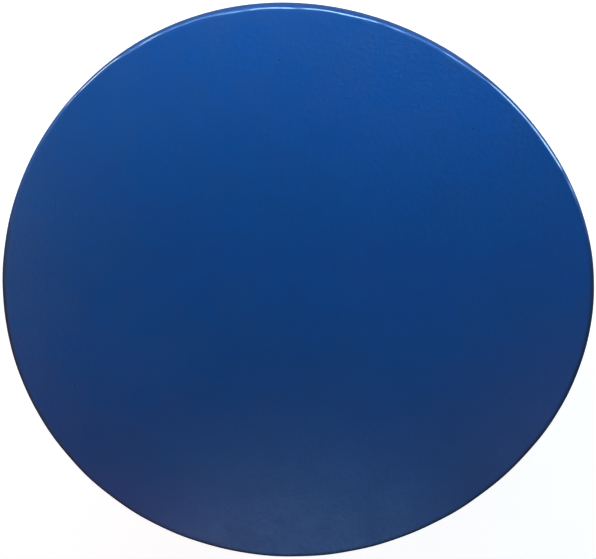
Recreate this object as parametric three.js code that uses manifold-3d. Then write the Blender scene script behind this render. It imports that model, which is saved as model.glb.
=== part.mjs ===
// Ice hockey puck of the lightweight junior kind: one solid moulding of blue rubber.
// Millimetres, +Z up. The origin is the centre of the face that the puck rests on.
//
// The puck is a disc whose faces end in a small rounded arris. Its side has a plain land next to
// each face, tapered as it draws from the mould, and between the lands a band where crossing
// grooves leave rows of flat-topped diamonds. They give a stick something to grip.

import * as THREE from 'three';
import { mergeVertices } from 'three/addons/utils/BufferGeometryUtils.js';
import Module from 'manifold-3d';

const wasm = await Module();
wasm.setup();

// Driving dimensions
const diameter = 76.2;        // regulation, 3 in
const thickness = 25.4;       // regulation, 1 in
const arrisRadius = 0.5;      // rounding between a face and the side
const taperWidth = 0.28;      // how much each land narrows towards its face
const taperHeight = 2.2;      // from a face to where the taper ends
const landHeight = 3.2;       // from a face to the diamond band, taper and rounding included
const grooveDepth = 0.45;     // also the height of the slope between a land and the band's floor
const grooveWidth = 1.0;      // at the tops of the diamonds
const diamondsPerRow = 60;
const diamondRows = 9;        // each row is shifted by half a diamond from the next
const arrisSteps = 5;         // facets over each rounded arris
const overcut = 1.5;          // how far the knurled blank stands out past the finished puck

// Worked out from the driving dimensions
const radius = diameter / 2;
const taperAngle = Math.atan2(taperHeight, taperWidth);    // of the land, up from the face
const faceRadius = radius - taperWidth - arrisRadius * Math.tan(taperAngle / 2);
const floorRadius = radius - grooveDepth;
const columns = 2 * diamondsPerRow;
const columnSpacing = (2 * Math.PI * floorRadius) / columns;
const bandBottom = landHeight + grooveDepth;
const bandTop = thickness - bandBottom;
const rowSpacing = (bandTop - bandBottom) / (diamondRows + 1);

// From a diamond's centre square to the valley between it and its neighbour, and the height that
// its flanks would meet at if it had no flat top.
const valleyDistance = (columnSpacing * rowSpacing) / Math.hypot(columnSpacing, rowSpacing);
const tipRadius = floorRadius + (grooveDepth * valleyDistance) / (grooveWidth / 2);

const rubber = new THREE.MeshStandardMaterial({ color: 0x0a3e76, roughness: 0.48, metalness: 0 });

// A closed three.js geometry as a solid that can be cut.
function solid(geometry) {
  const bare = geometry.clone();
  bare.deleteAttribute('normal');
  bare.deleteAttribute('uv');
  const merged = mergeVertices(bare);
  return new wasm.Manifold(new wasm.Mesh({
    numProp: 3,
    vertProperties: new Float32Array(merged.attributes.position.array),
    triVerts: new Uint32Array(merged.index.array),
  }));
}

// The finished solid as a geometry again.
function geometryOf(manifold) {
  const mesh = manifold.getMesh();
  const geometry = new THREE.BufferGeometry();
  geometry.setAttribute('position', new THREE.BufferAttribute(mesh.vertProperties, 3));
  geometry.setIndex(new THREE.BufferAttribute(mesh.triVerts, 1));
  geometry.computeVertexNormals();
  return geometry;
}

// The upper half of the side's outline: from the end of the taper, over the arris, to the face.
function upperEdge() {
  const arris = new THREE.EllipseCurve(
    faceRadius, thickness - arrisRadius, arrisRadius, arrisRadius,
    Math.PI / 2 - taperAngle, Math.PI / 2);
  return [new THREE.Vector2(radius, thickness - taperHeight), ...arris.getPoints(arrisSteps)];
}

// The same points on the other side of the puck's middle plane, in the opposite order.
function mirrored(points) {
  return points.map(({ x, y }) => new THREE.Vector2(x, thickness - y)).reverse();
}

// The puck without its diamonds, turned about Y.
function plainDisc() {
  const upper = [...upperEdge(), new THREE.Vector2(0, thickness)];
  return new THREE.LatheGeometry([...mirrored(upper), ...upper], columns);
}

// A diamond stands at every second crossing of the row and column lines.
const onLattice = (row, column) => (row + column) % 2 === 0;
const isCrest = (row, column) => row > 0 && row <= diamondRows && onLattice(row, column);

// An oversize disc, turned about Y, whose band has a point at every crossing. The crossings on
// the diamond lattice are pulled out to pointed tips, and each patch between four crossings is
// folded along its valley, so that every tip becomes a four-sided pyramid.
function knurledBlank() {
  const rowLines = Array.from({ length: diamondRows + 2 }, (_, row) =>
    new THREE.Vector2(floorRadius, bandBottom + row * rowSpacing));
  const lower = [
    new THREE.Vector2(0, -overcut),
    new THREE.Vector2(radius + overcut, -overcut),
    new THREE.Vector2(radius + overcut, landHeight - overcut),
  ];
  const outline = [...lower, ...rowLines, ...mirrored(lower)];
  const blank = new THREE.LatheGeometry(outline, columns);

  const position = blank.attributes.position;
  const vertex = (row, column) => column * outline.length + lower.length + row;
  const lift = tipRadius / floorRadius;
  for (let column = 0; column <= columns; column++) {
    for (let row = 0; row <= diamondRows; row++) {
      const at = vertex(row, column);
      if (isCrest(row, column)) {
        position.setXYZ(at, position.getX(at) * lift, position.getY(at), position.getZ(at) * lift);
      }
    }
  }

  // The turned disc joins each patch's lower right and upper left corners, which is the valley
  // where the lower left corner is on the diamond lattice. The other patches are turned over.
  const cornersPerPatch = 6;
  for (let column = 0; column < columns; column++) {
    for (let row = 0; row <= diamondRows; row++) {
      if (onLattice(row, column)) continue;
      const near = [vertex(row, column), vertex(row + 1, column)];
      const far = [vertex(row, column + 1), vertex(row + 1, column + 1)];
      const patch = column * (outline.length - 1) + lower.length + row;
      blank.index.array.set(
        [near[0], far[0], far[1], near[0], far[1], near[1]], patch * cornersPerPatch);
    }
  }
  return blank;
}

function puckBody() {
  const turned = solid(plainDisc()).intersect(solid(knurledBlank()));
  const body = new THREE.Mesh(geometryOf(turned).rotateX(Math.PI / 2), rubber);
  body.name = 'puck_body';
  return body;
}

const puck = new THREE.Group();
puck.add(puckBody());

export default puck;
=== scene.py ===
"""The looks of a lightweight junior ice hockey puck, moulded in blue rubber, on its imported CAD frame."""

import math

import bpy
import numpy as np
from mathutils import Matrix, Vector


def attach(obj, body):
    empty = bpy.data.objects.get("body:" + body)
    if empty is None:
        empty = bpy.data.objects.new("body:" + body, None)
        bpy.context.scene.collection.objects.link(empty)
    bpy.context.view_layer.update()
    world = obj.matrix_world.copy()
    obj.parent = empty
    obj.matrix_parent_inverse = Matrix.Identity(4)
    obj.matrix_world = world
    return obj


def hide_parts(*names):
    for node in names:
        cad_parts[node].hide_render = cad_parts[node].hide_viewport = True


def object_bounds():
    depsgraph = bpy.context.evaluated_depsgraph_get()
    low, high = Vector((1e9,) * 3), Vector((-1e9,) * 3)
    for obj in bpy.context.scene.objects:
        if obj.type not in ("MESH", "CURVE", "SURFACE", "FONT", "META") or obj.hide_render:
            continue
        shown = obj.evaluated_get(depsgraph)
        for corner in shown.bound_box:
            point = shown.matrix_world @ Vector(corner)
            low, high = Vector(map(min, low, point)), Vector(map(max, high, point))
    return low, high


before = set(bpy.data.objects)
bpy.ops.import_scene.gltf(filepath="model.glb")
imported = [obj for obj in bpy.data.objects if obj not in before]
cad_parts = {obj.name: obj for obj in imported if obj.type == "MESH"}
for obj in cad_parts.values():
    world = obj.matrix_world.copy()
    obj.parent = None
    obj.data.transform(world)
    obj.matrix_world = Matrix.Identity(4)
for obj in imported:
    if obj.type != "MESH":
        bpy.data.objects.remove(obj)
CAD_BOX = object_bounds()
MM = 0.001  # lengths are in millimetres here, and in metres once they reach Blender

# ---------------------------------------------------------------- sizes

RADIUS = (CAD_BOX[1].x - CAD_BOX[0].x) / 2 / MM
THICKNESS = (CAD_BOX[1].z - CAD_BOX[0].z) / MM

ARRIS_RADIUS = 0.5  # rounding between a face and the side
TAPER_WIDTH = 0.28  # how much each land narrows towards its face
TAPER_HEIGHT = 2.2  # from a face to where the taper ends
LAND_HEIGHT = 3.2  # from a face to the diamond band
GROOVE_DEPTH = 0.45
GROOVE_WIDTH = 1.0  # at the tops of the diamonds
FLANK_WIDTH = 0.62 * GROOVE_WIDTH  # from a groove's bottom until its side levels out
DIAMONDS = 60  # in one row
DIAMOND_ROWS = 9  # each shifted by half a diamond from the next
FACE_SINK = 0.042  # of a face's middle under its rim
FACE_WAVINESS = 0.003

# The rubber shrinks unevenly as it cools, so the puck is slightly lobed inside its nominal circle:
# number of lobes, depth in mm, and the angle of one crest in degrees.
SHRINKAGE = ((3, 0.352, -2.6), (4, 0.092, 9.0))

# Stretches of the upper arris that are still polished; the rest is rubbed dull: middle and half width
# in degrees, and how polished. The lower arris is polished evenly.
POLISHED_STRETCHES = (
    (26.7, 2.0, 0.5), (35.4, 3.8, 1.0), (42.0, 2.8, 0.8), (50.5, 5.8, 1.0), (59.0, 3.2, 0.3),
    (71.7, 1.2, 0.25), (81.8, 6.4, 0.55), (93.5, 3.7, 0.55), (101.0, 2.8, 0.15), (108.5, 4.6, 0.05),
    (115.3, 1.9, 0.25), (126.4, 4.5, 1.0), (133.3, 1.4, 0.6), (140.5, 1.4, 0.4),
)
POLISH_FADE = 1.5  # degrees at each end of a stretch
LOWER_POLISH = 0.3

TAPER_ANGLE = math.atan2(TAPER_HEIGHT, TAPER_WIDTH)
FLOOR_RADIUS = RADIUS - GROOVE_DEPTH
BAND_BOTTOM = LAND_HEIGHT + GROOVE_DEPTH
ROW_SPACING = (THICKNESS - 2 * BAND_BOTTOM) / (DIAMOND_ROWS + 1)
COLUMN_SPACING = math.pi * FLOOR_RADIUS / DIAMONDS
VALLEY_DISTANCE = COLUMN_SPACING * ROW_SPACING / math.hypot(COLUMN_SPACING, ROW_SPACING)

# The mesh
COLUMNS = 12 * DIAMONDS  # round the side
ANGLES = np.arange(COLUMNS) * 2 * math.pi / COLUMNS
ARRIS_ROWS = 9
LAND_ROWS = 3
BAND_ROWS = 67
FACE_MARGIN = 1.6 * ARRIS_RADIUS  # from the end of a face's rows to the corner that the arris rounds
FACE_STEPS = (0.35, 1.5, 2.5)  # between a face's rows: the outermost, growth inwards, and the longest


# ---------------------------------------------------------------- helpers


def smooth_step(x):
    x = np.clip(x, 0, 1)
    return x * x * (3 - 2 * x)


def smooth_max(a, b, soft):
    """The larger of two values, rounded where they are within soft of each other."""
    blend = np.clip(0.5 + 0.5 * (a - b) / soft, 0, 1)
    return b + (a - b) * blend + soft * blend * (1 - blend)


def ripple(angle, seed, orders):
    """A smooth random function of the angle round the puck, mostly between -1 and 1."""
    rng = np.random.default_rng(seed)
    waves = [np.cos(order * angle + rng.uniform(0, 2 * math.pi)) for order in orders]
    return np.sum(waves, axis=0) / math.sqrt(len(waves))


def shrinkage(angle):
    """How far inside its nominal circle the puck is, in mm."""
    lobes = [d * (1 - np.cos(n * (angle - math.radians(a)))) for n, d, a in SHRINKAGE]
    return np.sum(lobes, axis=0)


# ---------------------------------------------------------------- the moulded shape


class Ring:
    """One closed row of the puck's skin: radius and height in mm, and how its surface has fared: wear (on
    the arris partly a painted highlight), polish, and painted shade.
    """

    def __init__(self, angle, radius, height, wear_and_highlight=0.0, gloss=0.0, painted_shade=0.0):
        self.angle = angle
        full = np.ones_like(angle)
        reach = radius * full
        self.radius = reach - shrinkage(angle) * reach / RADIUS
        self.height = height * full
        self.wear_and_highlight = wear_and_highlight * full
        self.gloss = gloss * full
        self.painted_shade = painted_shade * full


def diamond_relief(angle, height):
    """How far the diamonds stand out of the band's floor, in mm, with softly moulded edges."""
    across = angle * FLOOR_RADIUS / COLUMN_SPACING
    up = (height - BAND_BOTTOM) / ROW_SPACING
    rising, falling = across + up, across - up
    crest_rising, crest_falling = 2 * np.round(rising / 2), 2 * np.round(falling / 2)
    row = (crest_rising - crest_falling) / 2
    off_crest = smooth_max(abs(rising - crest_rising), abs(falling - crest_falling), 0.2)
    flank = smooth_step(VALLEY_DISTANCE * (1 - off_crest) / FLANK_WIDTH)
    return np.where((row >= 1) & (row <= DIAMOND_ROWS), GROOVE_DEPTH * flank, 0.0)


def side_ring(height):
    """A row of a land's straight part or of the diamond band."""
    from_face = min(height, THICKNESS - height)
    shoulder = GROOVE_DEPTH * smooth_step((BAND_BOTTOM - from_face) / GROOVE_DEPTH)
    relief = np.minimum(smooth_max(diamond_relief(ANGLES, height), shoulder, 0.1), GROOVE_DEPTH)
    proud = relief / GROOVE_DEPTH
    wear_and_highlight = smooth_step((proud - 0.5) / 0.4) * (1 - 0.7 * smooth_step((proud - 0.96) / 0.04))
    on_land = smooth_step((LAND_HEIGHT - from_face) / 0.3)
    return Ring(ANGLES, FLOOR_RADIUS + relief, height, wear_and_highlight * (1 - on_land))


def edge_rings(seed, face_height, facing, polished, painted_shade):
    """The rows from a face over its arris to the end of the land's taper."""
    size = ARRIS_RADIUS * (1 + 0.12 * ripple(ANGLES, seed, range(4, 40)))
    inset = size * math.tan(TAPER_ANGLE / 2)
    corner = RADIUS - TAPER_WIDTH
    rings = []
    for turn in np.linspace(0, TAPER_ANGLE, ARRIS_ROWS):
        radius = corner - inset + size * math.sin(turn)
        depth = size * (1 - math.cos(turn))
        crown = math.sin(math.pi * turn / TAPER_ANGLE)
        # Painted shade: the arris is darkened on the side away from the key light, standing in for its
        # dark reflection there.
        shade_on_row = painted_shade * (0.6 + 0.4 * smooth_step(turn / 0.2))
        height = face_height - facing * depth
        # On the arris the lighter rubbed colour is partly a painted highlight, left off where the painted
        # shade is.
        rings.append(Ring(ANGLES, radius, height, crown * (1 - painted_shade), crown * polished, shade_on_row))
    for share in (0.2, 0.55, 0.9):
        height = face_height - facing * (depth + (TAPER_HEIGHT - depth) * share)
        widened = radius + (RADIUS - radius) * share
        rings.append(Ring(ANGLES, widened, height, painted_shade=painted_shade * (1 - share) ** 2))
    return rings


def face_radii():
    """(mesh columns, radius) of a face's rows from its middle to its rim, coarser inwards."""
    rows = []
    limit = RADIUS - TAPER_WIDTH - FACE_MARGIN
    step, growth, longest = FACE_STEPS
    columns, radius = COLUMNS, limit
    while columns >= COLUMNS // 16:
        inner = limit * columns / COLUMNS / 2
        while radius > inner:
            rows.append((columns, radius))
            step = min(step * growth, longest)
            radius -= step
        columns //= 2
    return rows[::-1]


def face_sink(radius, angle, seed):
    """How far a face lies under its plane, in mm: moulded flat, with a faint sink and waviness."""
    x, y = radius * np.cos(angle) / RADIUS, radius * np.sin(angle) / RADIUS
    rng = np.random.default_rng(seed)
    wave = np.zeros_like(x)
    for _ in range(14):
        turn, pace = rng.uniform(0, 2 * math.pi), rng.uniform(2, 9)
        wave += np.cos(pace * (x * math.cos(turn) + y * math.sin(turn)) + rng.uniform(0, 2 * math.pi))
    rim = np.clip(1 - (x * x + y * y), 0, 1)
    return rim * (FACE_SINK + FACE_WAVINESS * wave)


def face_rings(seed, face_height, facing):
    """The rows of a face, from its middle to the arris."""
    rings = []
    for columns, radius in face_radii():
        angle = np.arange(columns) * 2 * math.pi / columns
        rings.append(Ring(angle, radius, face_height - facing * face_sink(radius, angle, seed)))
    return rings


def puck_rings():
    """Every row of the skin, from just round the middle of the upper face to that of the lower.

    The lower arris gets the same painted shade, mirrored to the opposite side from the upper one.
    """
    land = np.linspace(TAPER_HEIGHT, LAND_HEIGHT - 0.3, LAND_ROWS)
    band = np.linspace(LAND_HEIGHT, THICKNESS - LAND_HEIGHT, BAND_ROWS)
    side = np.concatenate([land, band, THICKNESS - land[::-1]])[::-1]
    upper = face_rings(3, THICKNESS, 1) + edge_rings(11, THICKNESS, 1, polish(ANGLES), shade_round_arris(ANGLES))
    lower = face_rings(4, 0.0, -1) + edge_rings(12, 0.0, -1, LOWER_POLISH, shade_round_arris(-ANGLES))
    return upper + [side_ring(height) for height in side] + lower[::-1]


def polish(angle):
    """How polished the upper arris is round the puck, from 0 to 1."""
    degrees = np.degrees(angle)
    total = np.zeros_like(angle)
    for middle, half_width, amount in POLISHED_STRETCHES:
        away = abs((degrees - middle + 180) % 360 - 180)
        total = np.maximum(total, amount * smooth_step((half_width - away) / POLISH_FADE + 0.5))
    return np.clip(total * (0.92 + 0.16 * ripple(angle, 21, range(40, 160))), 0, 1)


def shade_round_arris(angle):
    """How much painted shade darkens the upper arris, from 0 to 1: it's in the half towards -Y, away from
    the key light.
    """
    return smooth_step(1.1 - 2 * np.sin(angle))


def between(upper, lower, start_upper, start_lower):
    """The faces that join one ring to the next one down, whose point counts may differ by a half."""
    n, m = len(upper.angle), len(lower.angle)
    faces = []
    for j in range(min(n, m)):
        k = (j + 1) % min(n, m)
        if n == m:
            faces.append((start_upper + j, start_lower + j, start_lower + k, start_upper + k))
        elif n < m:
            a, b, c = (start_lower + i % m for i in (2 * j, 2 * j + 1, 2 * j + 2))
            faces += [(start_upper + j, a, b), (start_upper + j, b, start_upper + k)]
            faces.append((start_upper + k, b, c))
        else:
            a, b, c = (start_upper + i % n for i in (2 * j, 2 * j + 1, 2 * j + 2))
            faces += [(start_lower + j, b, a), (start_lower + j, start_lower + k, b)]
            faces.append((start_lower + k, c, b))
    return faces


def skin_faces(rings):
    """The faces of the whole skin. Its last two points are the middles of the upper and lower face."""
    counts = [len(ring.angle) for ring in rings]
    starts = [sum(counts[:i]) for i in range(len(counts))]
    faces = []
    for i in range(len(rings) - 1):
        faces += between(rings[i], rings[i + 1], starts[i], starts[i + 1])
    first, last, end = counts[0], counts[-1], starts[-1]
    middle_top = sum(counts)
    middle_bottom = middle_top + 1
    faces += [(middle_top, j, (j + 1) % first) for j in range(first)]
    faces += [(middle_bottom, end + (j + 1) % last, end + j) for j in range(last)]
    return faces


def make_puck():
    rings = puck_rings()
    points = []
    for ring in rings:
        x, y = ring.radius * np.cos(ring.angle), ring.radius * np.sin(ring.angle)
        points.append(np.stack([x, y, ring.height], axis=1))
    points.append(np.array([[0, 0, rings[0].height.mean()], [0, 0, rings[-1].height.mean()]]))

    mesh = bpy.data.meshes.new("puck")
    mesh.from_pydata((np.concatenate(points) * MM).tolist(), [], skin_faces(rings))
    mesh.shade_smooth()
    for name in ("wear_and_highlight", "gloss", "painted_shade"):
        values = [getattr(ring, name) for ring in rings] + [np.zeros(2)]
        layer = mesh.attributes.new(name, "FLOAT", "POINT")
        layer.data.foreach_set("value", np.concatenate(values).astype(np.float32))
    puck = bpy.data.objects.new("puck", mesh)
    bpy.context.scene.collection.objects.link(puck)
    return puck


# ---------------------------------------------------------------- materials


class Nodes:
    """Short calls for building one material's node tree."""

    def __init__(self, name):
        self.material = bpy.data.materials.new(name)
        self.material.use_nodes = True
        self.tree = self.material.node_tree
        self.shader = self.tree.nodes["Principled BSDF"]

    def add(self, kind, settings=None, **inputs):
        node = self.tree.nodes.new(kind)
        for key, value in (settings or {}).items():
            setattr(node, key, value)
        for key, value in inputs.items():
            self.feed(node.inputs[key.replace("_", " ")], value)
        return node

    def feed(self, socket, value):
        if isinstance(value, bpy.types.NodeSocket):
            self.tree.links.new(value, socket)
        else:
            socket.default_value = value

    def math(self, operation, first, second=0.0, clamp=False):
        node = self.add("ShaderNodeMath", {"operation": operation, "use_clamp": clamp})
        self.feed(node.inputs[0], first)
        self.feed(node.inputs[1], second)
        return node.outputs[0]

    def spread(self, value, low, high, to_low=0.0, to_high=1.0):
        """A value mapped from one range to another, and held at its ends."""
        node = self.add("ShaderNodeMapRange", {"interpolation_type": "SMOOTHSTEP"})
        for index, item in enumerate((value, low, high, to_low, to_high)):
            self.feed(node.inputs[index], item)
        return node.outputs[0]

    def mix(self, factor, first, second):
        node = self.add("ShaderNodeMix", {"data_type": "RGBA"})
        for index, item in ((0, factor), (6, first), (7, second)):
            self.feed(node.inputs[index], item)
        return node.outputs[2]

    def noise(self, place, size, detail=2.0, roughness=0.5):
        """Noise with features of about the given size in metres."""
        node = self.add("ShaderNodeTexNoise", Vector=place, Scale=1 / size, Detail=detail)
        node.inputs["Roughness"].default_value = roughness
        return node.outputs[0]

    def specks(self, place, size, share, reach):
        """Round spots of 1 on 0, in a share of the cells of a given size in metres; reach is in cells."""
        cells = self.add("ShaderNodeTexVoronoi", Vector=place, Scale=1 / size)
        chosen = self.add("ShaderNodeSeparateColor")
        self.feed(chosen.inputs[0], cells.outputs["Color"])
        few = self.math("LESS_THAN", chosen.outputs[0], share)
        spot = self.spread(cells.outputs["Distance"], reach * 0.5, reach, 1.0, 0.0)
        return self.math("MULTIPLY", few, spot)

    def attribute(self, name):
        """A value that the mesh holds at each of its points."""
        return self.add("ShaderNodeAttribute", {"attribute_name": name}).outputs["Fac"]


DEEP_BLUE = (0.0019, 0.0495, 0.186, 1)
LIGHT_BLUE = (0.0021, 0.0535, 0.203, 1)
# Lighter blue for rubbed edges: real wear on the diamonds, on the arris partly a painted highlight.
RUBBED_AND_LIT_BLUE = (0.03, 0.13, 0.40, 1)
DARK_SPECK = (0.002, 0.02, 0.08, 1)
LIGHT_SPECK = (0.06, 0.16, 0.38, 1)
# A near-black blue for the painted shade on the arris.
PAINTED_SHADE_BLUE = (0.002, 0.006, 0.02, 1)
BLACK = (0.0, 0.0, 0.0, 1)
CRISP_SPOT = (17 * MM, 20 * MM, THICKNESS * MM)  # where the moulded pebbling is at its crispest


def rubber_material():
    n = Nodes("blue_rubber")
    place = n.add("ShaderNodeTexCoord").outputs["Object"]
    wear_and_highlight, gloss, painted_shade = n.attribute("wear_and_highlight"), n.attribute("gloss"), n.attribute("painted_shade")

    broad = n.noise(place, 22 * MM, 2.0)
    cloudy = n.noise(place, 4 * MM, 3.0, 0.55)
    pebble = n.noise(place, 0.5 * MM, 2.0, 0.6)
    grain = n.noise(place, 0.16 * MM, 2.0)

    dark_specks = n.specks(place, 1.6 * MM, 0.05, 0.14)
    light_specks = n.specks(place, 1.1 * MM, 0.04, 0.13)

    colour = n.mix(n.spread(broad, 0.3, 0.7), DEEP_BLUE, LIGHT_BLUE)
    colour = n.mix(n.spread(cloudy, 0.3, 0.7, 0.0, 0.06), colour, BLACK)
    colour = n.mix(n.spread(pebble, 0.3, 0.7, 0.0, 0.06), colour, BLACK)
    colour = n.mix(n.math("MULTIPLY", dark_specks, 0.5), colour, DARK_SPECK)
    colour = n.mix(n.math("MULTIPLY", light_specks, 0.25), colour, LIGHT_SPECK)
    # Lighter rubbed colour: real wear on the diamond tops, and on the upper arris partly a painted
    # highlight.
    rubbed_and_lit = n.math("MULTIPLY", wear_and_highlight, n.spread(cloudy, 0.35, 0.65, 0.35, 1.0))
    colour = n.mix(n.math("MULTIPLY", rubbed_and_lit, 0.2), colour, RUBBED_AND_LIT_BLUE)
    # Painted shade: the arris darkened towards -Y, where it faces away from the lights.
    colour = n.mix(n.math("MULTIPLY", painted_shade, 0.9), colour, PAINTED_SHADE_BLUE)
    n.feed(n.shader.inputs["Base Color"], colour)

    rough = n.spread(cloudy, 0.3, 0.7, 0.34, 0.40)
    rough = n.math("ADD", rough, n.spread(pebble, 0.3, 0.7, -0.03, 0.03))
    rough = n.math("ADD", rough, n.math("MULTIPLY", rubbed_and_lit, 0.2))
    rough = n.math("ADD", rough, n.math("MULTIPLY", painted_shade, 0.3))
    rough = n.math("SUBTRACT", rough, n.math("MULTIPLY", gloss, 0.3), True)
    n.feed(n.shader.inputs["Roughness"], rough)

    away = n.add("ShaderNodeVectorMath", {"operation": "DISTANCE"})
    n.feed(away.inputs[0], place)
    away.inputs[1].default_value = CRISP_SPOT
    crisp = n.spread(away.outputs["Value"], 6 * MM, 24 * MM, 1.0, 0.33)
    height = n.math("ADD", n.math("MULTIPLY", pebble, 0.75), n.math("MULTIPLY", grain, 0.25))
    height = n.math("MULTIPLY", height, crisp)
    height = n.math("SUBTRACT", height, n.math("MULTIPLY", dark_specks, 0.25))
    bump = n.add("ShaderNodeBump", Strength=1.0, Distance=0.085 * MM, Height=height)
    n.feed(n.shader.inputs["Normal"], bump.outputs[0])

    n.feed(n.shader.inputs["Coat Weight"], gloss)
    n.shader.inputs["Coat Roughness"].default_value = 0.16
    n.shader.inputs["Coat IOR"].default_value = 2.7
    return n.material


def acrylic_material():
    """White acrylic, lit from below like a light table."""
    n = Nodes("lit_acrylic")
    place = n.add("ShaderNodeTexCoord").outputs["Object"]
    mottle = n.spread(n.noise(place, 1.5 * MM, 3.0), 0.3, 0.7, 0.97, 1.0)
    shade = n.add("ShaderNodeCombineColor")
    for index in range(3):
        n.feed(shade.inputs[index], n.math("MULTIPLY", mottle, 0.5))
    n.feed(n.shader.inputs["Base Color"], shade.outputs[0])
    n.shader.inputs["Roughness"].default_value = 0.8
    n.shader.inputs["Specular IOR Level"].default_value = 0.1
    n.shader.inputs["Emission Color"].default_value = (1.0, 1.0, 1.0, 1)
    n.shader.inputs["Emission Strength"].default_value = 0.84
    return n.material


# ---------------------------------------------------------------- the studio

# Softboxes close round the puck, all turned to the middle of its upper face: azimuth in degrees,
# distance from the axis and height above the face, width and depth in mm, brightness and colour.
SOFTBOXES = {
    "key": (90, 66, 40, 110, 20, 12.6, (0.50, 0.79, 1.0)),
    "right_strip": (27, 108, 45, 60, 55, 5.0, (0.48, 0.76, 1.0)),
    "left_strip": (137, 114, 36, 60, 22, 6.0, (0.85, 0.95, 1.0)),
    "left": (180, 100, 90, 70, 30, 2.0, (0.95, 1.0, 0.2)),
    "left_low": (200, 95, 45, 70, 30, 1.8, (1.0, 0.7, 1.0)),
    "front": (270, 98, 75, 70, 30, 2.7, (0.45, 0.68, 1.0)),
    "front_left": (240, 95, 45, 70, 30, 1.0, (1.0, 0.3, 0.1)),
    "front_right": (315, 105, 80, 70, 30, 1.1, (1.0, 0.8, 0.65)),
}


def add_softboxes():
    target = Vector((0, 0, THICKNESS * MM))
    for name, (azimuth, reach, height, width, depth, brightness, colour) in SOFTBOXES.items():
        light = bpy.data.lights.new(name, "AREA")
        light.shape = "RECTANGLE"
        light.size, light.size_y = width * MM, depth * MM
        light.energy = brightness * math.pi * light.size * light.size_y
        light.color = colour
        box = bpy.data.objects.new(name, light)
        a = math.radians(azimuth)
        away = Vector((reach * math.cos(a), reach * math.sin(a), height)) * MM
        box.location = target + away
        box.rotation_euler = away.to_track_quat("Z", "Y").to_euler()
        box.visible_camera = False
        bpy.context.scene.collection.objects.link(box)


def add_world():
    """Dim surroundings, a little lighter below the table than above it."""
    world = bpy.data.worlds.new("studio")
    world.use_nodes = True
    tree = world.node_tree
    place = tree.nodes.new("ShaderNodeTexCoord")
    axes = tree.nodes.new("ShaderNodeSeparateXYZ")
    tree.links.new(place.outputs["Generated"], axes.inputs[0])
    fade = tree.nodes.new("ShaderNodeMapRange")
    fade.interpolation_type = "SMOOTHSTEP"
    tree.links.new(axes.outputs["Z"], fade.inputs["Value"])
    for name, value in (("From Min", -0.4), ("From Max", 0.1), ("To Min", 0.17), ("To Max", 0.025)):
        fade.inputs[name].default_value = value
    tree.links.new(fade.outputs["Result"], tree.nodes["Background"].inputs["Strength"])
    tree.nodes["Background"].inputs["Color"].default_value = (1.0, 1.0, 1.0, 1)
    bpy.context.scene.world = world


def add_stage(name, profile, lights_puck):
    """A round part of the stage, turned from a profile of radii and heights in metres."""
    sides = 96
    points = [(0.0, 0.0, profile[0][1])]
    for radius, height in profile:
        for j in range(sides):
            a = 2 * math.pi * j / sides
            points.append((radius * math.cos(a), radius * math.sin(a), height))
    faces = []
    if lights_puck:
        faces += [(0, 1 + j, 1 + (j + 1) % sides) for j in range(sides)]
    for i in range(len(profile) - 1):
        inner, outer = 1 + i * sides, 1 + (i + 1) * sides
        for j in range(sides):
            k = (j + 1) % sides
            faces.append((inner + j, outer + j, outer + k, inner + k))
    mesh = bpy.data.meshes.new(name)
    mesh.from_pydata(points, [], faces)
    mesh.shade_smooth()
    mesh.materials.append(acrylic_material())
    piece = bpy.data.objects.new(name, mesh)
    piece.visible_glossy = False
    piece.visible_diffuse = lights_puck
    bpy.context.scene.collection.objects.link(piece)


def add_floor_and_backdrop():
    add_stage("floor", [(radius, 0.0) for radius in (0.05, 0.1, 0.2, 0.4, 0.7)], True)
    rise = np.linspace(0, math.pi / 2, 12)
    bend = [(0.7 + 0.3 * math.sin(turn), 0.3 * (1 - math.cos(turn))) for turn in rise]
    add_stage("backdrop", bend + [(1.0, 1.2)], False)


# The camera is close above the upper face and a little behind its rim, so that the side is just
# hidden, and it looks back at the middle with +Y upwards in the picture.
CAMERA_HEIGHT = 88.0  # above the face
CAMERA_OFFSET = 0.98 * RADIUS  # from the axis
CAMERA_AZIMUTH = 86.6
CAMERA_TARGET = (0.575, 5.33)
CAMERA_LENS = 45.29


def add_camera():
    data = bpy.data.cameras.new("camera")
    data.lens = CAMERA_LENS
    data.clip_start = 1 * MM
    camera = bpy.data.objects.new("camera", data)
    azimuth = math.radians(CAMERA_AZIMUTH)
    offset = Vector((math.cos(azimuth), math.sin(azimuth), 0)) * CAMERA_OFFSET
    place = (offset + Vector((0, 0, THICKNESS + CAMERA_HEIGHT))) * MM
    aim = Vector((*CAMERA_TARGET, THICKNESS)) * MM
    back = (place - aim).normalized()
    right = Vector((0, 1, 0)).cross(back).normalized()
    up = back.cross(right)
    camera.matrix_world = Matrix.Translation(place) @ Matrix((right, up, back)).transposed().to_4x4()
    bpy.context.scene.collection.objects.link(camera)
    bpy.context.scene.camera = camera


# ---------------------------------------------------------------- putting it together

add_camera()
add_world()
add_softboxes()
add_floor_and_backdrop()
bpy.context.scene.view_settings.view_transform = "Standard"

puck = make_puck()
puck.data.materials.append(rubber_material())
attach(puck, "root")
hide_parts("puck_body")
